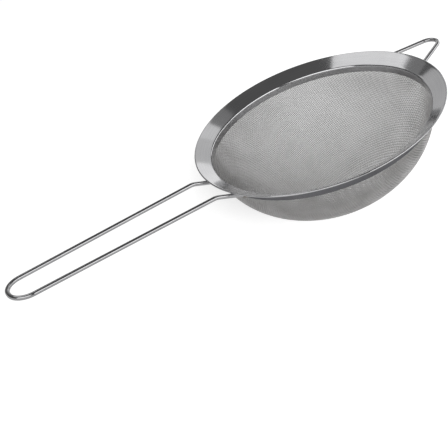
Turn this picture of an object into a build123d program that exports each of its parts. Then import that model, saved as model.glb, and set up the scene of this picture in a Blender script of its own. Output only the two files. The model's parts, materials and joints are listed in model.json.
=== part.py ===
from build123d import *

# Stainless strainer: a round bowl of woven wire in a sloping sheet-metal lip, with a long U-shaped
# wire handle and a short wire hook opposite it. It lies as it is set down on a table, on its bowl
# and on the end of its handle.
#
# Millimetres. Each piece is drawn in the strainer's own axes, with Z up the axis of the bowl, the
# top of the lip at Z = 0, the handle along -X and the hook along +X. Then the whole strainer is
# tipped about Y until bowl and handle end touch the table. In the finished frame +Z is up, the table
# is Z = 0, and the origin is where the bowl touches the table.

import os
from math import atan2, asin, cos, degrees, hypot, radians, sin, sqrt, tan

# Lip: one strip of sheet, hemmed at its outer edge and folded down into a collar at its inner edge
RIM_DIAMETER = 180.0  # over the hem
RIM_SHEET = 0.6
LIP_SLOPE = 30.0  # degrees up and outwards
LIP_WIDTH = 11.2  # in plan, from the hem's outer edge to the inside of the collar
HEM_WIDTH = 2.4  # sheet turned back under the edge, along the slope
FOLD_RADIUS = 2.0  # over the top of the fold between lip and collar
COLLAR_WALL = 3.9  # straight height of the collar below the fold

# Clamp band: a hoop round the collar that traps the edge of the cloth
BAND_SHEET = 0.5
BAND_DROP = 0.2  # how far its top edge, and the cloth's, stay below the fold

# Bowl: the woven cloth as one closed shell, part of an ellipsoid below an upright skirt
CLOTH_THICKNESS = 0.2
BOWL_DEPTH = 65.8  # below the top of the lip
BOWL_CENTRE_DROP = 1.8  # height of the ellipsoid's centre, below the top of the lip

# Round wire of handle and hook
WIRE_DIAMETER = 3.0
WIRE_GAP = 0.3  # between the wire and the hem that it passes under
WELD_BEAD = 0.9  # how far a weld stands out round the wire

# Handle: two legs from under the lip, up at the lip's slope, then out at a gentle rise
HANDLE_LENGTH = 150.6  # in plan, from the hem to the far end
HANDLE_WIDTH_AT_RIM = 30.4  # between the legs' centre lines
HANDLE_WIDTH_AT_END = 24.8
HANDLE_RISE = 7.1  # degrees
HANDLE_KNEE = 8.2  # in plan, from the hem to the bend
KNEE_RADIUS = 12.0
HANDLE_END_FLAT = 1.0  # straight between the two rounded corners of the far end

# Hook: a level V with a rounded point
HOOK_REACH = 29.1  # in plan, from the hem to the far end
HOOK_WIDTH_AT_RIM = 32.4  # between the legs' centre lines
HOOK_DROP = 3.5  # its centre line below the top of the lip
HOOK_POINT_RADIUS = 7.6
HOOK_KNEE_RADIUS = 5.0

# Setting the strainer down: the tilt is found by halving a range
STEEPEST_TILT = 60.0  # degrees
HALVINGS = 60

# Lip, worked out in the half-plane of radius and height
rim_radius = RIM_DIAMETER / 2
wire_radius = WIRE_DIAMETER / 2
lip_out = Vector(cos(radians(LIP_SLOPE)), sin(radians(LIP_SLOPE)))
lip_up = Vector(-lip_out.Y, lip_out.X)
hem_centre = Vector(rim_radius - RIM_SHEET, -RIM_SHEET)

# Fold and collar
collar_radius = rim_radius - LIP_WIDTH
fold_centre_radius = collar_radius + FOLD_RADIUS
fold_run = fold_centre_radius - hem_centre.X
fold_height = hem_centre.Y + (RIM_SHEET - FOLD_RADIUS + lip_out.Y * fold_run) / lip_out.X
fold_centre = Vector(fold_centre_radius, fold_height)
collar_bottom = fold_height - COLLAR_WALL

# Cloth skirt and band, each on the outside of the one before
skirt_top = fold_height - BAND_DROP
skirt_inner_radius = collar_radius + RIM_SHEET
skirt_radius = skirt_inner_radius + CLOTH_THICKNESS
band_radius = skirt_radius + BAND_SHEET


def bowl_axes(thickness_inside):
    """Half-width and half-height of the ellipse that lies that far inside the cloth's outer face.

    The ellipse leaves the skirt's own radius at the bottom of the collar.
    """
    half_height = BOWL_DEPTH - BOWL_CENTRE_DROP - thickness_inside
    level = (collar_bottom + BOWL_CENTRE_DROP) / half_height
    half_width = (skirt_radius - thickness_inside) / sqrt(1 - level**2)
    return half_width, half_height


def bowl_curve(thickness_inside):
    """Quarter-ellipse from the collar's bottom edge to the bowl's lowest point."""
    half_width, half_height = bowl_axes(thickness_inside)
    centre = (0, -BOWL_CENTRE_DROP)
    sweep_angle = 90 + degrees(asin((collar_bottom + BOWL_CENTRE_DROP) / half_height))
    return EllipticalCenterArc(centre, half_width, half_height, -90, arc_size=sweep_angle)


def turned(outline):
    """Solid of revolution about Z from a closed outline of radius and height."""
    return revolve(Plane.XZ * make_face(outline), axis=Axis.Z)


def rim_flange():
    """Lip, hem, fold and collar, all one sheet."""
    fold_middle = (lip_up + Vector(-1, 0)).normalized()
    under_radius = FOLD_RADIUS - RIM_SHEET
    hem_top = hem_centre + lip_up * RIM_SHEET
    hem_bottom = hem_centre - lip_up * RIM_SHEET
    hem_end = hem_bottom - lip_out * HEM_WIDTH
    fold_top = fold_centre + lip_up * FOLD_RADIUS
    wall_top = fold_centre - Vector(FOLD_RADIUS, 0)
    under_wall = fold_centre - Vector(under_radius, 0)
    under_lip = fold_centre + lip_up * under_radius
    hem_step = hem_centre - lip_out * HEM_WIDTH
    outline = (
        Line(hem_top, fold_top)
        + ThreePointArc(fold_top, fold_centre + fold_middle * FOLD_RADIUS, wall_top)
        + Polyline(
            wall_top,
            (collar_radius, collar_bottom),
            (skirt_inner_radius, collar_bottom),
            under_wall,
        )
        + ThreePointArc(under_wall, fold_centre + fold_middle * under_radius, under_lip)
        + Polyline(under_lip, hem_step, hem_end, hem_bottom)
        + ThreePointArc(hem_bottom, hem_centre + lip_out * RIM_SHEET, hem_top)
    )
    return turned(outline)


def clamp_band():
    """Plain hoop outside the cloth's skirt."""
    corners = [
        (skirt_radius, collar_bottom),
        (band_radius, collar_bottom),
        (band_radius, skirt_top),
        (skirt_radius, skirt_top),
    ]
    return turned(Polyline(*corners, close=True))


def mesh_bowl():
    """Skirt and bowl of the woven cloth."""
    outside = bowl_curve(0)
    inside = bowl_curve(CLOTH_THICKNESS)
    outline = (
        outside
        + Polyline(
            (skirt_radius, collar_bottom),
            (skirt_radius, skirt_top),
            (skirt_inner_radius, skirt_top),
            (skirt_inner_radius, collar_bottom),
        )
        + inside
        + Line(inside @ 0, outside @ 0)
    )
    return turned(outline)


def lead_height(radius):
    """Height of a wire's centre line at that radius, where it runs under the lip, clear of the hem."""
    below_hem = RIM_SHEET + WIRE_GAP + wire_radius
    passing = hem_centre - lip_up * below_hem
    return passing.Y + (radius - passing.X) * tan(radians(LIP_SLOPE))


def where_radius(start, direction, radius):
    """Point of a plan line, from a start outside a circle about the axis, where it first meets it."""
    along = start.dot(direction)
    reach = -along - sqrt(along**2 - start.length**2 + radius**2)
    return start + direction * reach


def wire(legs, radii):
    """Round wire through one leg's points, from the band outwards, and back through their mirror images.

    A point on the centre plane is its own mirror image. The first point is drawn inwards along its
    run, so that the band's face trims the wire's end.
    """
    foot, knee = legs[0], legs[1]
    one_side = [foot + (foot - knee).normalized() * WIRE_DIAMETER, *legs[1:]]
    other_side = [Vector(point.X, -point.Y, point.Z) for point in reversed(one_side) if point.Y]
    path = FilletPolyline(*one_side, *other_side, radius=radii)
    section = Plane(origin=path @ 0, z_dir=path % 0) * Circle(wire_radius)
    return sweep(section, path=path) - band_core()


def band_core():
    """Everything inside the band's outer face, which a wire's end or a weld butts against."""
    return Pos(0, 0, fold_height) * Cylinder(band_radius, BOWL_DEPTH)


def leg_start(plan_point, direction):
    """Point where a leg's centre line meets the band's outer face."""
    foot = where_radius(plan_point, direction, band_radius)
    height = lead_height(band_radius)
    return Vector(foot.X, foot.Y, height)


def handle_points():
    """One leg of the handle: foot on the band, knee, and corner at the far end."""
    half_at_rim = HANDLE_WIDTH_AT_RIM / 2
    half_at_end = HANDLE_WIDTH_AT_END / 2
    knee_x = rim_radius + HANDLE_KNEE
    end_x = rim_radius + HANDLE_LENGTH - wire_radius
    taper = (half_at_rim - half_at_end) / (end_x - rim_radius)
    knee_plan = Vector(-knee_x, half_at_rim - taper * HANDLE_KNEE)
    inwards = Vector(1, taper).normalized()
    knee = Vector(knee_plan.X, knee_plan.Y, lead_height(knee_x))
    end_height = knee.Z + (end_x - knee_x) * tan(radians(HANDLE_RISE))
    return [leg_start(knee_plan, inwards), knee, Vector(-end_x, half_at_end, end_height)]


def hook_points():
    """One leg of the hook: foot on the band, knee under the hem, and the virtual point of the V."""
    half_at_rim = HOOK_WIDTH_AT_RIM / 2
    point_centre = rim_radius + HOOK_REACH - wire_radius - HOOK_POINT_RADIUS
    to_centre = hypot(point_centre - rim_radius, half_at_rim)
    towards = atan2(half_at_rim, point_centre - rim_radius)
    leg_angle = towards - asin(HOOK_POINT_RADIUS / to_centre)
    point_x = rim_radius + half_at_rim / tan(leg_angle)
    inwards = Vector(-cos(leg_angle), sin(leg_angle))
    start = Vector(point_x, 0)
    knee_radius = rim_radius - (lead_height(rim_radius) + HOOK_DROP) / tan(radians(LIP_SLOPE))
    knee = where_radius(start, inwards, knee_radius)
    return [
        leg_start(start, inwards),
        Vector(knee.X, knee.Y, -HOOK_DROP),
        Vector(point_x, 0, -HOOK_DROP),
    ]


def handle_wire():
    """Long U of round wire."""
    corner_radius = (HANDLE_WIDTH_AT_END - HANDLE_END_FLAT) / 2
    return wire(handle_points(), [KNEE_RADIUS, corner_radius, corner_radius, KNEE_RADIUS])


def hook_wire():
    """Short V of round wire with a rounded point."""
    return wire(hook_points(), [HOOK_KNEE_RADIUS, HOOK_POINT_RADIUS, HOOK_KNEE_RADIUS])


def welds(foot, welded_wire):
    """Bead round each of a wire's two ends, against the band."""
    beads = []
    for side in (1, -1):
        bead = Pos(foot.X, side * foot.Y, foot.Z) * Sphere(wire_radius + WELD_BEAD)
        beads += (bead - band_core() - welded_wire).solids()
    return Compound(beads)


def lowest_of_bowl(tilt):
    """Lowest point of the tipped bowl, in the strainer's own X and Z."""
    half_width, half_height = bowl_axes(0)
    reach = hypot(half_width * sin(tilt), half_height * cos(tilt))
    x = -(half_width**2) * sin(tilt) / reach
    z = -BOWL_CENTRE_DROP - half_height**2 * cos(tilt) / reach
    return x, z


def tipped_height(x, z, tilt):
    """Height of a point once the strainer is tipped about Y with its handle going down."""
    return x * sin(tilt) + z * cos(tilt)


def rest_tilt():
    """Tilt at which the bowl and the end of the handle are equally low, found by halving."""
    end = handle_points()[-1]
    low, high = 0.0, radians(STEEPEST_TILT)
    for _ in range(HALVINGS):
        tilt = (low + high) / 2
        handle_low = tipped_height(end.X, end.Z, tilt) - wire_radius
        if handle_low > tipped_height(*lowest_of_bowl(tilt), tilt):
            low = tilt
        else:
            high = tilt
    return tilt


def set_down():
    """Placement that tips the strainer and puts the bowl's lowest point at the origin."""
    tilt = rest_tilt()
    x, z = lowest_of_bowl(tilt)
    across = x * cos(tilt) - z * sin(tilt)
    return Pos(-across, 0, -tipped_height(x, z, tilt)) * Rot(0, -degrees(tilt), 0)


def main():
    """Make every piece, set the strainer down and write each piece as its own STEP file."""
    handle = handle_wire()
    hook = hook_wire()
    pieces = {
        "rim_flange": rim_flange(),
        "clamp_band": clamp_band(),
        "mesh_bowl": mesh_bowl(),
        "handle_wire": handle,
        "hook_wire": hook,
        "handle_welds": welds(handle_points()[0], handle),
        "hook_welds": welds(hook_points()[0], hook),
    }
    placement = set_down()
    os.makedirs("parts", exist_ok=True)
    for name, piece in pieces.items():
        export_step(placement * piece, f"parts/{name}.step")
    print(f"tipped {degrees(rest_tilt()):.3f} degrees, rim centre at {placement.position}")


main()
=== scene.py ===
"""Looks of a stainless strainer: sheet-metal rim, woven wire bowl, looped wire handle and wire hook.

Every piece is worked out in the strainer's own axes, in millimetres, with Z up the bowl's axis, the top
of the lip at Z = 0 and the hook along +X. One placement, read from the frame's mounts, puts it on the
table in metres.
"""

import json
import logging
import math
from dataclasses import dataclass, field
from enum import Enum

import bpy
import numpy as np
from mathutils import Matrix, Vector

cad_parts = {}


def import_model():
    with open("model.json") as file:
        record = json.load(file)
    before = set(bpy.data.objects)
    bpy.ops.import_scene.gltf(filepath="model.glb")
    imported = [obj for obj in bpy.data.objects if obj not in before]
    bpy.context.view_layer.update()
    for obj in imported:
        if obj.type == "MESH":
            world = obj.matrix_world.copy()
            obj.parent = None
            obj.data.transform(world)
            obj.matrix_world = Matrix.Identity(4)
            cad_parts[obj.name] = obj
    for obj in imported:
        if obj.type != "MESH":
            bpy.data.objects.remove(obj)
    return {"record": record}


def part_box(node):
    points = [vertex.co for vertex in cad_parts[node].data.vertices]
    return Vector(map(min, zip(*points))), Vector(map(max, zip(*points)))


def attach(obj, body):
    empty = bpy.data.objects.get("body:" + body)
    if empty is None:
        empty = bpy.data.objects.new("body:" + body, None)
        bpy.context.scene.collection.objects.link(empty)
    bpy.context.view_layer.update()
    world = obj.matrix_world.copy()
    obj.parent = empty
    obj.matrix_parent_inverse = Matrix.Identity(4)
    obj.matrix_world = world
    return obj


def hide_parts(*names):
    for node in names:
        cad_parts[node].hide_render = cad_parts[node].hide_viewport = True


log = logging.getLogger("strainer")

MM = 0.001  # metres in a millimetre
BODY = "root"
OPEN_END = 1.0  # stands for a radius at the end of an open path, where there is no arc


# ---------------------------------------------------------------- shapes


def unit(vectors: np.ndarray) -> np.ndarray:
    """Vectors divided by their lengths.

    Args:
        vectors: Vectors along the last axis.

    Returns:
        Unit vectors, in the same shape.
    """
    return vectors / np.linalg.norm(vectors, axis=-1, keepdims=True)


def rounded_path(corners: np.ndarray, radii: np.ndarray, closed: bool, steps: int = 8) -> np.ndarray:
    """Polyline with its corners replaced by arcs.

    Each arc leaves the corner at radius / tan(half the angle) along both sides, and is the centre plus
    the radius times cosine and sine of an angle that sweeps from one side's tangent point to the other's.

    Args:
        corners: Points in the plane or in space, one a row.
        radii: Radius at each corner; the two ends of an open path are kept as they are.
        closed: Whether the last corner joins the first.
        steps: Number of pieces in each arc.

    Returns:
        Points along the path, in order.
    """
    before = np.roll(corners, 1, axis=0)
    after = np.roll(corners, -1, axis=0)
    back, ahead = unit(before - corners), unit(after - corners)
    half = np.arccos(np.clip((back * ahead).sum(1), -1, 1)) / 2
    tangent = corners + back * (radii / np.tan(half))[:, None]
    centre = corners + unit(back + ahead) * (radii / np.sin(half))[:, None]
    first = unit(tangent - centre)
    second = unit(-back)
    sweep = np.linspace(0, 1, steps + 1)[None, :] * (math.pi - 2 * half)[:, None]
    spokes = np.cos(sweep)[..., None] * first[:, None] + np.sin(sweep)[..., None] * second[:, None]
    arcs = centre[:, None] + radii[:, None, None] * spokes
    if closed:
        return arcs.reshape(-1, corners.shape[1])
    return np.vstack([corners[:1], arcs[1:-1].reshape(-1, corners.shape[1]), corners[-1:]])


def resampled(path: np.ndarray, spacing: float) -> np.ndarray:
    """Path with points added on its straight stretches.

    Args:
        path: Points in order, one a row.
        spacing: Longest step that is left between neighbours.

    Returns:
        The path's points and, evenly between each pair that is too far apart, the added ones.
    """
    gaps = np.linalg.norm(np.diff(path, axis=0), axis=1)
    pieces = np.maximum(np.ceil(gaps / spacing).astype(int), 1)
    starts = np.repeat(np.arange(len(gaps)), pieces)
    inside = np.arange(pieces.sum()) - np.repeat(np.cumsum(pieces) - pieces, pieces)
    share = (inside / pieces[starts])[:, None]
    return np.vstack([path[starts] * (1 - share) + path[starts + 1] * share, path[-1:]])


def turned(outline: np.ndarray, around: int) -> np.ndarray:
    """Grid of a surface of revolution: (radius cos angle, radius sin angle, height).

    Args:
        outline: Radius and height of each point of the section.
        around: Number of sections in a full turn.

    Returns:
        Points, shaped angle by outline by 3.
    """
    angle = np.linspace(0, 2 * math.pi, around, endpoint=False)[:, None]
    radius, height = outline[None, :, 0], outline[None, :, 1]
    return np.stack([radius * np.cos(angle), radius * np.sin(angle), height + 0 * angle], axis=-1)


def tube(path: np.ndarray, radius: float, around: int, up: np.ndarray) -> np.ndarray:
    """Grid of a round tube: path + radius (cos angle side + sin angle top), path by angle.

    Args:
        path: Centre line.
        radius: Radius of the wire.
        around: Points round the wire.
        up: Direction that is never along the path; side is the path's direction crossed with it.

    Returns:
        Points, shaped path by angle by 3.
    """
    along = unit(np.gradient(path, axis=0))
    side = unit(np.cross(along, up))
    top = np.cross(side, along)
    angle = np.linspace(0, 2 * math.pi, around, endpoint=False)[None, :, None]
    return path[:, None] + radius * (np.cos(angle) * side[:, None] + np.sin(angle) * top[:, None])


@dataclass
class Surface:
    """Vertices and quads of one piece, with a map of distances along the surface in millimetres."""

    points: np.ndarray
    faces: np.ndarray
    chart: np.ndarray
    caps: list[list[int]] = field(default_factory=list)

    @classmethod
    def from_grid(
        cls, grid: np.ndarray, wrap_rows: bool, wrap_columns: bool, caps: bool = False
    ) -> "Surface":
        """Closed skin over a grid of points.

        Quad (i, j) joins points (i, j), (i + 1, j), (i + 1, j + 1) and (i, j + 1). The chart is the mean
        distance along the rows and along the columns.

        Args:
            grid: Points, rows by columns by 3.
            wrap_rows: Whether the last row joins the first.
            wrap_columns: Whether the last column joins the first.
            caps: Whether the first and last rows are closed by a face each.

        Returns:
            The surface.
        """
        rows, columns = grid.shape[:2]
        i = np.arange(rows if wrap_rows else rows - 1)[:, None]
        j = np.arange(columns if wrap_columns else columns - 1)[None, :]
        i_next, j_next = (i + 1) % rows, (j + 1) % columns
        quads = np.stack(
            [i * columns + j, i_next * columns + j, i_next * columns + j_next, i * columns + j_next], axis=-1
        )
        row_steps = np.linalg.norm(np.roll(grid, -1, 0) - grid, axis=-1).mean(1)
        column_steps = np.linalg.norm(np.roll(grid, -1, 1) - grid, axis=-1).mean(0)
        u = np.concatenate([[0], np.cumsum(row_steps)])
        v = np.concatenate([[0], np.cumsum(column_steps)])
        corners = [(0, 0), (1, 0), (1, 1), (0, 1)]
        charts = [np.stack([u[i + a] + 0 * j, v[j + b] + 0 * i], axis=-1) for a, b in corners]
        chart = np.stack(charts, axis=-2)
        ends = [list(range(columns)), [rows * columns - 1 - k for k in range(columns)]] if caps else []
        return cls(grid.reshape(-1, 3), quads.reshape(-1, 4), chart.reshape(-1, 4, 2), ends)


@dataclass(frozen=True)
class Placement:
    """Where the strainer's own axes lie in the frame: metres, and a turn about the frame's Y axis."""

    turn: np.ndarray
    origin: np.ndarray

    @classmethod
    def from_record(cls, record: dict) -> "Placement":
        """Axes from the mount at the centre of the lip, whose axis points down the bowl."""
        rest = next(mount for mount in record["mounts"] if mount["name"] == "vessel_rest")
        upward = -np.array(rest["axis"], float)
        across = np.array([0.0, 1.0, 0.0])
        return cls(np.stack([np.cross(across, upward), across, upward]), np.array(rest["pos_m"], float))

    def apply(self, points: np.ndarray) -> np.ndarray:
        """Points in the frame, in metres, from points in the strainer's axes, in millimetres."""
        return points @ self.turn * MM + self.origin


def make_piece(name: str, surface: Surface, place: Placement) -> bpy.types.Object:
    """Mesh object at the origin, with smooth faces pointing outwards and a distance map in metres.

    Args:
        name: Piece's name.
        surface: Its vertices and faces, in the strainer's axes.
        place: The strainer's placement.

    Returns:
        The new object, linked to the scene.
    """
    mesh = bpy.data.meshes.new(name)
    quads = surface.faces
    cap_lengths = [len(cap) for cap in surface.caps]
    corner_index = np.concatenate([quads.ravel(), *[np.array(cap) for cap in surface.caps]]).astype(np.int32)
    lengths = np.concatenate([np.full(len(quads), 4), cap_lengths]).astype(np.int32)
    mesh.vertices.add(len(surface.points))
    mesh.vertices.foreach_set("co", place.apply(surface.points).astype(np.float32).ravel())
    mesh.loops.add(len(corner_index))
    mesh.loops.foreach_set("vertex_index", corner_index)
    mesh.polygons.add(len(lengths))
    mesh.polygons.foreach_set("loop_start", (np.cumsum(lengths) - lengths).astype(np.int32))
    mesh.polygons.foreach_set("use_smooth", np.ones(len(lengths), bool))
    chart = np.zeros((len(corner_index), 2), np.float32)
    chart[: quads.size] = surface.chart.reshape(-1, 2) * MM
    mesh.uv_layers.new(name="distance").data.foreach_set("uv", chart.ravel())
    mesh.update(calc_edges=True)
    mesh.validate()
    piece = bpy.data.objects.new(name, mesh)
    bpy.context.scene.collection.objects.link(piece)
    return piece


# ---------------------------------------------------------------- finishes


def linear(hex_colour: str) -> tuple[float, float, float, float]:
    """Linear colour from an sRGB hex value.

    Args:
        hex_colour: Six hex digits after a #.

    Returns:
        Red, green and blue from 0 to 1, and an alpha of 1.
    """
    value = [int(hex_colour[i : i + 2], 16) / 255 for i in (1, 3, 5)]
    return (*[c / 12.92 if c <= 0.04045 else ((c + 0.055) / 1.055) ** 2.4 for c in value], 1.0)


def add_node(
    tree: bpy.types.NodeTree, kind: str, settings: dict | None = None, **links: object
) -> bpy.types.Node:
    """Adds a node, sets its properties and inputs, and links its inputs.

    Args:
        tree: Node tree of the material.
        kind: Node type.
        settings: Property names and values.
        links: Input names with _ for a space, or i and the input's number, each with either a value
            or the output socket to link.

    Returns:
        The new node.
    """
    node = tree.nodes.new(kind)
    for key, value in (settings or {}).items():
        setattr(node, key, value)
    for key, value in links.items():
        numbered = key[0] == "i" and key[1:].isdigit()
        socket = node.inputs[int(key[1:]) if numbered else key.replace("_", " ")]
        if isinstance(value, bpy.types.NodeSocket):
            tree.links.new(value, socket)
        else:
            socket.default_value = value
    return node


@dataclass(frozen=True)
class Steel:
    """Stainless steel: the part of every finish that is the same for sheet, wire and weld metal.

    Two noises are mixed: working lines, stretched along the piece by its distance map, and slow patches.
    The mix turns the reflected colour from bright to dull and the surface from smooth to rough.
    """

    name: str
    tint: str  # reflected colour
    dull: str  # reflected colour where the surface is duller
    roughness: float
    roughness_spread: float
    lines: tuple[float, float]  # pattern's repeats a millimetre, along and across the working direction
    relief: float  # millimetres of bump
    blotch: float  # repeats a millimetre of the slow change from bright to dull
    line_share: float = 0.6  # weight of the working lines; the patches weigh 1
    colour_range: tuple[float, float] = (0.55, 1.05)  # mix at which the colour is bright, and dull
    roughness_range: tuple[float, float] = (0.5, 1.1)  # mix at the smoothest, and the roughest

    def material(self) -> bpy.types.Material:
        """Makes the node material.

        Returns:
            A material that reads the distance map of the piece that wears it.
        """
        made = bpy.data.materials.new(self.name)
        made.use_nodes = True
        tree = made.node_tree
        tree.nodes.clear()
        chart = add_node(tree, "ShaderNodeUVMap", {"uv_map": "distance"})
        along, across = self.lines
        stretched = add_node(
            tree, "ShaderNodeMapping", i0=chart.outputs["UV"], Scale=(along / MM, across / MM, 1.0)
        )
        working = add_node(
            tree,
            "ShaderNodeTexNoise",
            Vector=stretched.outputs["Vector"],
            Scale=1.0,
            Detail=3.0,
            Roughness=0.6,
        )
        place = add_node(tree, "ShaderNodeTexCoord")
        patches = add_node(
            tree, "ShaderNodeTexNoise", Vector=place.outputs["Object"], Scale=self.blotch / MM, Detail=4.0
        )
        mixed = add_node(
            tree,
            "ShaderNodeMath",
            {"operation": "MULTIPLY_ADD"},
            i0=working.outputs["Fac"],
            i1=self.line_share,
            i2=patches.outputs["Fac"],
        )
        colour = add_node(
            tree,
            "ShaderNodeMapRange",
            i0=mixed.outputs["Value"],
            From_Min=self.colour_range[0],
            From_Max=self.colour_range[1],
            To_Min=0.0,
            To_Max=1.0,
        )
        tint = add_node(
            tree,
            "ShaderNodeMix",
            {"data_type": "RGBA"},
            i0=colour.outputs["Result"],
            i6=linear(self.tint),
            i7=linear(self.dull),
        )
        rough = add_node(
            tree,
            "ShaderNodeMapRange",
            i0=mixed.outputs["Value"],
            From_Min=self.roughness_range[0],
            From_Max=self.roughness_range[1],
            To_Min=self.roughness - self.roughness_spread,
            To_Max=self.roughness + self.roughness_spread,
        )
        bump = add_node(
            tree, "ShaderNodeBump", Strength=1.0, Distance=self.relief * MM, Height=working.outputs["Fac"]
        )
        shader = add_node(
            tree,
            "ShaderNodeBsdfPrincipled",
            Base_Color=tint.outputs[2],
            Metallic=1.0,
            Roughness=rough.outputs["Result"],
            Normal=bump.outputs["Normal"],
        )
        add_node(tree, "ShaderNodeOutputMaterial", Surface=shader.outputs["BSDF"])
        return made


class Finish(Enum):
    """The strainer's finishes, each named for its metal and how its surface was made; the band's strip is
    also darkened as painted shade.
    """

    # Spun and buffed stainless sheet: an even mirror with faint rings that run with the rim
    SPUN_SHEET = Steel(
        name="buffed_stainless_sheet",
        tint="#CBCBCC",
        dull="#BDBDBF",
        roughness=0.10,
        roughness_spread=0.04,
        lines=(0.02, 1.2),
        relief=0.004,
        blotch=0.03,
    )
    # Rolled stainless strip as it leaves the mill, with short lines along the strip; its grey is made darker
    # still as painted shade under the lip
    ROLLED_STRIP_DARKENED_AS_SHADE = Steel(
        name="rolled_strip_darkened_as_painted_shade",
        tint="#77777A",
        dull="#606063",
        roughness=0.30,
        roughness_spread=0.08,
        lines=(0.05, 2.5),
        relief=0.006,
        blotch=0.08,
    )
    # Cold-drawn stainless wire woven into cloth: satin, with scratches along each wire
    DRAWN_CLOTH_WIRE = Steel(
        name="woven_stainless_wire",
        tint="#CBCACA",
        dull="#B1B0AF",
        roughness=0.42,
        roughness_spread=0.08,
        lines=(0.3, 3.0),
        relief=0.01,
        blotch=0.06,
    )
    # Drawn wire brightened in an electropolishing bath: mirror-like, with soft lines along it
    BRIGHT_WIRE = Steel(
        name="electropolished_stainless_wire",
        tint="#BDBDBE",
        dull="#A5A5A7",
        roughness=0.09,
        roughness_spread=0.03,
        lines=(0.04, 1.6),
        relief=0.004,
        blotch=0.05,
    )
    # Weld metal left as it cooled: rippled and a little browned by the heat
    WELD_METAL = Steel(
        name="stainless_weld_metal",
        tint="#A39E97",
        dull="#6E6862",
        roughness=0.42,
        roughness_spread=0.12,
        lines=(0.8, 0.8),
        relief=0.05,
        blotch=0.5,
    )


def dress(piece: bpy.types.Object, finish: Finish, nodes: tuple[str, ...], built: dict) -> None:
    """Gives a piece its material and its body, hides the CAD nodes it stands for, and reports it.

    Args:
        piece: Finished object.
        finish: Finish to give it.
        nodes: CAD nodes that it replaces.
        built: Materials made so far, by finish.
    """
    if finish not in built:
        built[finish] = finish.value.material()
    piece.data.materials.append(built[finish])
    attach(piece, BODY)
    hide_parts(*nodes)
    log.info("%s: %d faces, %s", piece.name, len(piece.data.polygons), finish.value.name)


# ---------------------------------------------------------------- pieces


@dataclass
class Rim:
    """Lip, hem, fold and collar of one sheet, and the band that clamps the cloth to the collar."""

    radius: float
    band_radius: float
    cloth_radius: float
    sheet: float = 0.6
    slope: float = math.radians(30.0)
    lip_width: float = 11.2
    hem_width: float = 2.4
    fold_radius: float = 2.0
    collar_wall: float = 3.9
    band_drop: float = 0.2
    burr: float = 0.12  # softening of cut edges
    around: int = 576
    spacing: float = 1.5  # longest step between points of a section

    @property
    def collar_radius(self) -> float:
        """Inside of the collar."""
        return self.radius - self.lip_width

    @property
    def hem_radius(self) -> float:
        """Middle of the rounded outer edge."""
        return self.radius - self.sheet

    def lip_height(self, radius: float, above: float) -> float:
        """Height on the line parallel to the slope that passes that far above the middle of the hem."""
        return -self.sheet + above / math.cos(self.slope) + (radius - self.hem_radius) * math.tan(self.slope)

    @property
    def fold_height(self) -> float:
        """Height of the centre of the fold's arc."""
        return self.lip_height(self.collar_radius + self.fold_radius, self.sheet - self.fold_radius)

    @property
    def collar_bottom(self) -> float:
        """Height of the collar's lower edge."""
        return self.fold_height - self.collar_wall

    def sheet_outline(self) -> np.ndarray:
        """Closed section of the sheet: straight sides between arcs at the hem, fold and cut edges."""
        out = np.array([math.cos(self.slope), math.sin(self.slope)])
        up = np.array([-out[1], out[0]])
        middle = np.array([self.hem_radius, -self.sheet])
        wall_out = self.collar_radius + self.sheet
        corners = np.array(
            [
                middle + (out + up) * self.sheet,
                (self.collar_radius, self.lip_height(self.collar_radius, self.sheet)),
                (self.collar_radius, self.collar_bottom),
                (wall_out, self.collar_bottom),
                (wall_out, self.lip_height(wall_out, 0.0)),
                middle - out * self.hem_width,
                middle - out * self.hem_width - up * self.sheet,
                middle + (out - up) * self.sheet,
            ]
        )
        inner_fold = self.fold_radius - self.sheet
        hem = self.sheet * 0.999  # a hair short, so that the hem's two quarter arcs don't share a point
        radii = [hem, self.fold_radius, self.burr, self.burr, inner_fold, self.burr, self.burr, hem]
        return rounded_path(corners, np.array(radii), closed=True)

    def band_outline(self) -> np.ndarray:
        """Closed section of the clamp band, a strip with softened edges."""
        top = self.fold_height - self.band_drop
        corners = np.array(
            [
                (self.band_radius, top),
                (self.cloth_radius, top),
                (self.cloth_radius, self.collar_bottom),
                (self.band_radius, self.collar_bottom),
            ]
        )
        return rounded_path(corners, np.full(4, self.burr), closed=True, steps=4)

    def build(self, place: Placement, built: dict) -> None:
        """Makes and dresses the two rings.

        Args:
            place: The strainer's placement.
            built: Materials made so far, by finish.
        """
        rings = (
            ("rim_flange", self.sheet_outline(), Finish.SPUN_SHEET, "rim_sheet"),
            # The clamp band's steel is darkened as painted shade under the lip
            ("clamp_band", self.band_outline(), Finish.ROLLED_STRIP_DARKENED_AS_SHADE, "band_sheet"),
        )
        for node, outline, finish, slot in rings:
            closed_outline = resampled(np.vstack([outline, outline[:1]]), self.spacing)[:-1]
            surface = Surface.from_grid(turned(closed_outline, self.around), True, True)
            dress(make_piece(f"{node}_sheet", surface, place), finish, (node,), built)


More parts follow.
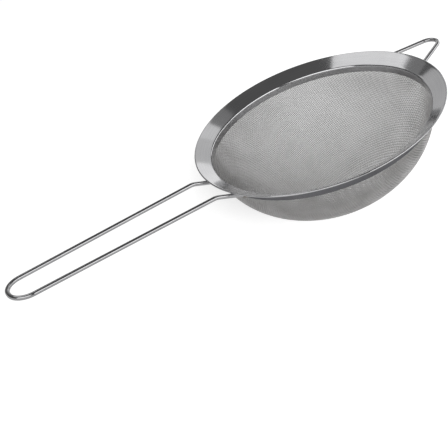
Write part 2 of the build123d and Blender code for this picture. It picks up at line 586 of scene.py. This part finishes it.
@dataclass
class WovenBowl:
    """Plain-woven cloth drawn from a flat disc into a bowl, every wire of it a tube."""

    rim: Rim
    depth: float = 65.8
    centre_drop: float = 1.8
    pitch: float = 1.3  # between the middles of neighbouring wires in the flat cloth
    wire: float = 0.45  # diameter
    tucked: float = 2.0  # length of cloth between collar and band
    around: int = 4
    turn: float = math.radians(5.0)  # of the weave, from the handle's direction
    samples: int = 1200  # points of the bowl's half-section
    skirt_samples: int = 20
    settling: float = 4.0  # height below the collar in which the cloth moves out to the band
    skirt_inset: float = 0.1  # of the middle surface behind the outer face, where the cloth is clamped
    flattened: float = 0.3  # share of a wire's lift that clamping leaves
    nudge: float = 0.01  # step along a wire that gives its direction
    pattern_shift: float = 7.3  # between the finish's patterns on neighbouring wires

    def meridian(self) -> tuple[np.ndarray, ...]:
        """Half-section of the cloth's middle surface, by distance from the pole.

        It follows the bowl's ellipse a wire's diameter inside it, moves out to the skirt's inset just
        below the collar, and ends in an upright line between collar and band.

        Returns:
            Distance, radius, height, and the outward normal's radius and height, as equal arrays.
        """
        half_height = self.depth - self.centre_drop
        level = (self.rim.collar_bottom + self.centre_drop) / half_height
        half_width = self.rim.cloth_radius / math.sqrt(1 - level**2)
        angle = np.linspace(0, math.pi / 2 + math.asin(level), self.samples)
        outside = np.stack([half_width * np.sin(angle), -self.centre_drop - half_height * np.cos(angle)], 1)
        normal = unit(np.stack([np.sin(angle) / half_width, -np.cos(angle) / half_height], 1))
        clamped = np.clip((outside[:, 1] - self.rim.collar_bottom + self.settling) / self.settling, 0, 1)
        inset = self.wire * (1 - clamped) + self.skirt_inset * clamped
        bowl = outside - normal * inset[:, None]
        rise = np.linspace(0, self.tucked, self.skirt_samples)[1:, None]
        skirt = bowl[-1] + rise * np.array([0.0, 1.0])
        points = np.vstack([bowl, skirt])
        normals = np.vstack([normal, np.repeat([[1.0, 0.0]], len(skirt), 0)])
        distance = np.concatenate([[0], np.cumsum(np.linalg.norm(np.diff(points, axis=0), axis=1))])
        return distance, points[:, 0], points[:, 1], normals[:, 0], normals[:, 1]

    def drape(self, flat: np.ndarray, lift: np.ndarray) -> tuple[np.ndarray, np.ndarray]:
        """Points of the flat disc laid in the bowl.

        A point at a distance and an angle from the disc's middle goes the same distance along the
        meridian at that angle, and then its lift along the outward normal.

        Args:
            flat: Points of the disc, one a row.
            lift: Distance off the middle surface at each.

        Returns:
            Points in the strainer's axes, and the normals there.
        """
        distance, radius, height, normal_radius, normal_height = self.meridian()
        far = np.hypot(flat[:, 0], flat[:, 1])
        around = np.arctan2(flat[:, 1], flat[:, 0]) + self.turn
        r, z = np.interp(far, distance, radius), np.interp(far, distance, height)
        nr, nz = np.interp(far, distance, normal_radius), np.interp(far, distance, normal_height)
        cosine, sine = np.cos(around), np.sin(around)
        normals = unit(np.stack([nr * cosine, nr * sine, nz], 1))
        return np.stack([r * cosine, r * sine, z], 1) + normals * lift[:, None], normals

    def wires(self, direction: int, first_half: bool) -> Surface:
        """Half of the wires of one direction, as one surface.

        A wire's centre line is a straight row of points of the disc, two a crossing. Its lift is
        the amplitude times the cosine of pi times the crossing's number, so that it goes over one
        crossing wire and under the next, and the other direction's lift has the opposite sign. Each
        point carries a ring: wire radius (cos angle side + sin angle normal).

        Args:
            direction: 0 for warp, 1 for weft.
            first_half: Whether the half on the negative side of the middle wire.

        Returns:
            The surface, with each wire's ends capped.
        """
        reach = float(self.meridian()[0][-1])
        count = int(reach / self.pitch) + 1
        numbers, steps = np.arange(-count, count + 1), np.arange(-2 * count, 2 * count + 1)
        number, step = np.meshgrid(numbers, steps, indexing="ij")
        across, along = number * self.pitch, step * self.pitch / 2
        half = number < 0 if first_half else number >= 0
        inside = (np.hypot(across, along) < reach) & half
        number, step, across, along = (grid[inside] for grid in (number, step, across, along))
        sign = 1 - 2 * direction
        clamp = np.clip((reach - np.hypot(across, along)) / (2 * self.tucked), self.flattened, 1)
        lift = sign * self.wire / 2 * clamp * np.cos(math.pi * (number + step / 2))
        slope = -sign * self.wire / 2 * clamp * math.pi / self.pitch * np.sin(math.pi * (number + step / 2))
        flat = np.stack([across, along][:: 1 - 2 * direction], 1)
        nudge = np.zeros_like(flat)
        nudge[:, 1 - direction] = self.nudge
        centre, normal = self.drape(flat, lift)
        ahead, _ = self.drape(flat + nudge, lift + slope * self.nudge)
        tangent = unit(ahead - centre)
        side = unit(np.cross(tangent, normal))
        top = np.cross(side, tangent)
        angle = (np.arange(self.around) + 0.5) * 2 * math.pi / self.around
        ring = np.cos(angle)[None, :, None] * side[:, None] + np.sin(angle)[None, :, None] * top[:, None]
        points = centre[:, None] + self.wire / 2 * ring
        start = np.flatnonzero(number[1:] == number[:-1])[:, None] * self.around
        k = np.arange(self.around)[None, :]
        k_next = (k + 1) % self.around
        quads = np.stack(
            [start + k, start + self.around + k, start + self.around + k_next, start + k_next], -1
        ).reshape(-1, 4)
        u = along[:, None] + 0 * k
        v = number[:, None] * self.pattern_shift + k * self.wire * math.pi / self.around
        spread = np.stack([u, v], -1).reshape(-1, 2)
        ends = np.flatnonzero(np.r_[True, number[1:] != number[:-1], True])
        first_rings = ends[:-1, None] * self.around + np.arange(self.around)
        last_rings = ends[1:, None] * self.around - 1 - np.arange(self.around)
        faces = np.vstack([quads, first_rings, last_rings])
        return Surface(points.reshape(-1, 3), faces, spread[faces])

    def build(self, place: Placement, built: dict) -> None:
        """Makes and dresses the cloth as four bundles of wires.

        Args:
            place: The strainer's placement.
            built: Materials made so far, by finish.
        """
        for direction, family in enumerate(("warp", "weft")):
            for first_half, side in ((True, "a"), (False, "b")):
                piece = make_piece(f"cloth_{family}_{side}", self.wires(direction, first_half), place)
                dress(piece, Finish.DRAWN_CLOTH_WIRE, ("mesh_bowl",), built)


@dataclass
class WireLoop:
    """A length of round wire bent into a loop, both ends welded to the band under the lip."""

    rim: Rim
    wire: float = 3.0
    gap: float = 0.3  # between the wire and the hem it passes under
    bead: float = 0.9  # how far a weld stands out round the wire
    bead_rings: int = 15
    bead_around: int = 40
    bead_lumps: float = 0.05  # share of a weld's radius
    bead_ripples: float = 0.03
    bead_sunk: float = 0.3  # how far a weld's flat base lies inside the band
    bead_pole: float = 0.02  # size of the face at a weld's pole, as a share of the ring round it
    around: int = 32
    spacing: float = 1.2

    def lead_height(self, radius: float) -> float:
        """Height of the centre line under the lip, parallel to the lip and clear of the hem."""
        return self.rim.lip_height(radius, -self.rim.sheet - self.gap - self.wire / 2)

    def foot(self, point: np.ndarray, inwards: np.ndarray, radius: float) -> np.ndarray:
        """Where a plan line from a point outside first meets a circle about the bowl's axis.

        The line point + t inwards meets the circle at the smaller root of its quadratic in t.

        Args:
            point: Point of the line, outside the circle.
            inwards: Unit vector along the line, towards the circle.
            radius: The circle's radius.

        Returns:
            The meeting point, in plan.
        """
        along = float(point @ inwards)
        reach = -along - math.sqrt(along**2 - float(point @ point) + radius**2)
        return point + inwards * reach

    def leg_start(self, point: np.ndarray, inwards: np.ndarray) -> np.ndarray:
        """End of a leg's centre line on the band's outer face."""
        plan = self.foot(point, inwards, self.rim.band_radius)
        return np.array([*plan, self.lead_height(self.rim.band_radius)])

    def mirrored(self, leg: np.ndarray) -> np.ndarray:
        """One leg's points out, and back through their mirror images but for a shared point."""
        back = leg[::-1] * np.array([1.0, -1.0, 1.0])
        return np.vstack([leg, back[1:] if leg[-1, 1] == 0 else back])

    def weld(self, foot: np.ndarray) -> Surface:
        """Dome of weld metal on the band's face, over the wire's end.

        In axes with the pole straight out of the band, a point of the dome is the radius times
        (1 + ripple) (sine polar, cosine polar), closed by a flat base just inside the band.

        Args:
            foot: Centre of the wire's end.

        Returns:
            The surface.
        """
        radius = self.wire / 2 + self.bead
        polar = np.linspace(0.0, math.pi / 2, self.bead_rings)[:, None]
        turn = np.linspace(0, 2 * math.pi, self.bead_around, endpoint=False)[None, :]
        lumps = self.bead_lumps * np.sin(3 * turn + 1.3) * np.sin(2 * polar)
        ripple = 1 + lumps + self.bead_ripples * np.sin(9 * polar + 2 * turn)
        outward = unit(foot * np.array([1.0, 1.0, 0.0]))
        upward = np.array([0.0, 0.0, 1.0])
        sideways = np.cross(upward, outward)
        parts = (np.sin(polar) * np.cos(turn), np.sin(polar) * np.sin(turn), np.cos(polar) + 0 * turn)
        axes = (sideways, upward, outward)
        dome = sum((radius * ripple * part)[..., None] * axis for part, axis in zip(parts, axes))
        grid = foot + np.vstack([dome, dome[-1:] - outward * self.bead_sunk])
        pole = grid[0].mean(0)
        grid[0] = pole + (grid[1] - pole) * self.bead_pole
        return Surface.from_grid(grid, False, True, caps=True)

    def leg(self) -> tuple[np.ndarray, np.ndarray]:
        """One leg's corner points and the radii of the bends along the whole loop."""
        raise NotImplementedError

    def build_loop(self, name: str, place: Placement, built: dict) -> None:
        """Makes and dresses the wire and its two welds.

        Args:
            name: What the loop is, at the start of its CAD nodes' names.
            place: The strainer's placement.
            built: Materials made so far, by finish.
        """
        leg, radii = self.leg()
        corners = self.mirrored(leg)
        path = resampled(rounded_path(corners, radii, closed=False, steps=16), self.spacing)
        grid = tube(path, self.wire / 2, self.around, np.array([0.0, 0.0, 1.0]))
        piece = make_piece(f"{name}_round", Surface.from_grid(grid, False, True, caps=True), place)
        dress(piece, Finish.BRIGHT_WIRE, (f"{name}_wire",), built)
        for side, label in ((1.0, "left"), (-1.0, "right")):
            foot = leg[0] * np.array([1.0, side, 1.0])
            bead = make_piece(f"{name}_weld_{label}", self.weld(foot), place)
            dress(bead, Finish.WELD_METAL, (f"{name}_welds",), built)


@dataclass
class Handle(WireLoop):
    """Long U: two nearly parallel legs, up under the lip and then out at a gentle rise."""

    length: float = 150.6
    width_at_rim: float = 30.4
    width_at_end: float = 24.8
    rise: float = math.radians(7.1)
    knee: float = 8.2
    knee_radius: float = 12.0
    end_flat: float = 1.0

    def leg(self) -> tuple[np.ndarray, np.ndarray]:
        """Foot, knee and far corner of one leg, and the bends of the whole loop."""
        half_at_rim, half_at_end = self.width_at_rim / 2, self.width_at_end / 2
        knee_x = self.rim.radius + self.knee
        end_x = self.rim.radius + self.length - self.wire / 2
        taper = (half_at_rim - half_at_end) / (end_x - self.rim.radius)
        knee_plan = np.array([-knee_x, half_at_rim - taper * self.knee])
        knee_height = self.lead_height(knee_x)
        end_height = knee_height + (end_x - knee_x) * math.tan(self.rise)
        points = np.array(
            [
                self.leg_start(knee_plan, unit(np.array([1.0, taper]))),
                (*knee_plan, knee_height),
                (-end_x, half_at_end, end_height),
            ]
        )
        corner = (self.width_at_end - self.end_flat) / 2
        bends = [OPEN_END, self.knee_radius, corner, corner, self.knee_radius, OPEN_END]
        return points, np.array(bends)


@dataclass
class Hook(WireLoop):
    """Short V with a rounded point, level with the lip."""

    reach: float = 29.1
    width_at_rim: float = 32.4
    drop: float = 3.5
    point_radius: float = 7.6
    knee_radius: float = 5.0

    def leg(self) -> tuple[np.ndarray, np.ndarray]:
        """Foot, knee and the point of the V, and the bends of the whole loop."""
        half_at_rim = self.width_at_rim / 2
        point_centre = self.rim.radius + self.reach - self.wire / 2 - self.point_radius
        to_centre = math.hypot(point_centre - self.rim.radius, half_at_rim)
        towards = math.atan2(half_at_rim, point_centre - self.rim.radius)
        leg_angle = towards - math.asin(self.point_radius / to_centre)
        start = np.array([self.rim.radius + half_at_rim / math.tan(leg_angle), 0.0])
        inwards = np.array([-math.cos(leg_angle), math.sin(leg_angle)])
        rise = (self.lead_height(self.rim.radius) + self.drop) / math.tan(self.rim.slope)
        knee_plan = self.foot(start, inwards, self.rim.radius - rise)
        points = [self.leg_start(start, inwards), (*knee_plan, -self.drop), (*start, -self.drop)]
        bends = [OPEN_END, self.knee_radius, self.point_radius, self.knee_radius, OPEN_END]
        return np.array(points), np.array(bends)


# ---------------------------------------------------------------- studio


def direction(azimuth: float, elevation: float) -> Vector:
    """Unit vector in the frame.

    Args:
        azimuth: Degrees from +X towards +Y.
        elevation: Degrees above the table.

    Returns:
        The vector.
    """
    a, e = math.radians(azimuth), math.radians(elevation)
    return Vector((math.cos(a) * math.cos(e), math.sin(a) * math.cos(e), math.sin(e)))


@dataclass(frozen=True)
class Softbox:
    """Flat soft light at a direction and distance from the strainer, facing it."""

    name: str
    azimuth: float
    elevation: float
    width: float  # metres
    height: float
    glow: float  # brightness of its face
    distance: float = 1.3

    def build(self, target: Vector) -> None:
        """Adds the light, which the camera doesn't see; its power is its glow times its area times pi.

        Args:
            target: Point that the light faces, and that its distance is taken from.
        """
        light = bpy.data.lights.new(self.name, "AREA")
        light.shape = "RECTANGLE"
        light.size, light.size_y = self.width, self.height
        light.energy = self.glow * self.width * self.height * math.pi
        lamp = bpy.data.objects.new(self.name, light)
        outward = direction(self.azimuth, self.elevation)
        lamp.location = target + outward * self.distance
        lamp.rotation_mode = "QUATERNION"
        lamp.rotation_quaternion = outward.to_track_quat("Z", "Y")
        lamp.visible_camera = False
        bpy.context.scene.collection.objects.link(lamp)


@dataclass(frozen=True)
class Studio:
    """Pale glowing table, dim room, soft lights and the camera.

    The camera alone sees the table's backlight, which burns the table out to white while the steel
    mirrors a greyer one. An ellipse of the table that the bowl hides goes without it, as it would lie in
    the bowl's shadow.
    """

    table_size: float = 6.0
    table_colour: str = "#A6A6A6"
    table_roughness: float = 0.9
    table_glow: float = 0.50
    table_backlight: float = 0.40
    shade_centre: tuple[float, float, float] = (0.145, 0.165, 0.0)
    shade_turn: float = math.radians(39.0)
    shade_reach: tuple[float, float, float] = (0.27, 0.112, 1.0)
    shade_edge: float = 0.6  # share of the reach where the shade begins to fade
    room_glow: float = 0.12
    camera_azimuth: float = -121.80
    camera_elevation: float = 23.51
    camera_lean: float = -2.16
    camera_distance: float = 0.585
    lens: float = 67.58
    sensor: float = 36.0
    aim: tuple[float, float, float] = (-0.06041, 0.01060, 0.00191)
    lit_point: tuple[float, float, float] = (0.0, 0.0, 0.05)
    # Each softbox: name, azimuth, elevation, width, height, glow and, if not the usual one, distance
    softboxes: tuple[Softbox, ...] = (
        Softbox("key", -68.0, 22.0, 1.50, 0.84, 1.8),
        Softbox("left_side", -148.0, 21.0, 1.60, 0.80, 1.5),
        Softbox("front_right", -3.0, 21.0, 1.50, 0.70, 1.5),
        Softbox("back_left", 129.5, 49.5, 0.71, 0.66, 0.98),
        Softbox("far_right", 49.0, 28.0, 0.48, 1.80, 0.58),
        Softbox("far_right_top", 34.0, 62.5, 0.40, 0.48, 0.16, 1.32),
        Softbox("right_side", 73.7, 16.1, 0.47, 0.42, 0.44, 0.65),
        Softbox("right_fill", 106.0, 33.0, 0.32, 0.50, 0.14, 1.34),
    )

    def build_table(self) -> None:
        """Adds the table top at the height of the frame's origin."""
        half = self.table_size / 2
        mesh = bpy.data.meshes.new("table_top")
        corners = [(-half, -half, 0), (half, -half, 0), (half, half, 0), (-half, half, 0)]
        mesh.from_pydata(corners, [], [(0, 1, 2, 3)])
        # Translucent acrylic lit from below, which keeps shadows faint; the camera alone sees an extra
        # backlight, left out in an ellipse behind the bowl as a painted shadow
        made = bpy.data.materials.new("glowing_table_with_painted_shadow")
        made.use_nodes = True
        tree = made.node_tree
        tree.nodes.clear()
        place = add_node(tree, "ShaderNodeTexCoord")
        # Painted shadow of the bowl: an ellipse of the table in which the camera-only backlight fades to
        # nothing
        ellipse = add_node(
            tree,
            "ShaderNodeMapping",
            {"vector_type": "TEXTURE"},
            Vector=place.outputs["Object"],
            Location=self.shade_centre,
            Rotation=(0.0, 0.0, self.shade_turn),
            Scale=self.shade_reach,
        )
        away = add_node(
            tree, "ShaderNodeVectorMath", {"operation": "LENGTH"}, i0=ellipse.outputs["Vector"]
        )
        # Camera-only backlight with the painted shadow taken out of it inside the ellipse
        backlight = add_node(
            tree,
            "ShaderNodeMapRange",
            {"interpolation_type": "SMOOTHSTEP"},
            i0=away.outputs["Value"],
            From_Min=self.shade_edge,
            From_Max=1.0,
            To_Min=0.0,
            To_Max=self.table_backlight,
        )
        path = add_node(tree, "ShaderNodeLightPath")
        glow = add_node(
            tree,
            "ShaderNodeMath",
            {"operation": "MULTIPLY_ADD"},
            i0=path.outputs["Is Camera Ray"],
            i1=backlight.outputs["Result"],
            i2=self.table_glow,
        )
        shader = add_node(
            tree,
            "ShaderNodeBsdfPrincipled",
            Base_Color=linear(self.table_colour),
            Roughness=self.table_roughness,
            Emission_Color=linear("#FFFFFF"),
            Emission_Strength=glow.outputs["Value"],
        )
        add_node(tree, "ShaderNodeOutputMaterial", Surface=shader.outputs["BSDF"])
        mesh.materials.append(made)
        top = bpy.data.objects.new("table_top", mesh)
        bpy.context.scene.collection.objects.link(top)

    def build_room(self) -> None:
        """Gives the world an even dim grey."""
        world = bpy.data.worlds.new("room")
        world.use_nodes = True
        background = world.node_tree.nodes["Background"]
        background.inputs["Color"].default_value = (1.0, 1.0, 1.0, 1.0)
        background.inputs["Strength"].default_value = self.room_glow
        bpy.context.scene.world = world

    def build_camera(self) -> None:
        """Adds the camera, which looks at the aim point and leans a little about its line of sight."""
        camera = bpy.data.cameras.new("camera")
        camera.lens = self.lens
        camera.sensor_width = self.sensor
        eye = bpy.data.objects.new("camera", camera)
        outward = direction(self.camera_azimuth, self.camera_elevation)
        level = outward.to_track_quat("Z", "Y").to_matrix()
        leaning = level @ Matrix.Rotation(math.radians(self.camera_lean), 3, "Z")
        place = Vector(self.aim) + outward * self.camera_distance
        eye.matrix_world = Matrix.Translation(place) @ leaning.to_4x4()
        bpy.context.scene.collection.objects.link(eye)
        bpy.context.scene.camera = eye

    def build(self) -> None:
        """Builds table, room, lights and camera, with a plain display curve."""
        self.build_table()
        self.build_room()
        for softbox in self.softboxes:
            softbox.build(Vector(self.lit_point))
        self.build_camera()
        bpy.context.scene.view_settings.view_transform = "Standard"


def half_width(node: str) -> float:
    """Half of a CAD node's size across.

    Args:
        node: The node's name.

    Returns:
        Millimetres.
    """
    low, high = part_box(node)
    return (high.y - low.y) / 2 / MM


def main(frame: dict) -> None:
    """Builds every sub-assembly and the studio, in order.
    """
    logging.basicConfig(level=logging.INFO, format="%(name)s: %(message)s")
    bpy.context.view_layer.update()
    place = Placement.from_record(frame["record"])
    built: dict = {}
    rim = Rim(half_width("rim_flange"), half_width("clamp_band"), half_width("mesh_bowl"))
    rim.build(place, built)
    WovenBowl(rim).build(place, built)
    Handle(rim).build_loop("handle", place, built)
    Hook(rim).build_loop("hook", place, built)
    Studio().build()


if __name__ == "__main__":
    main(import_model())
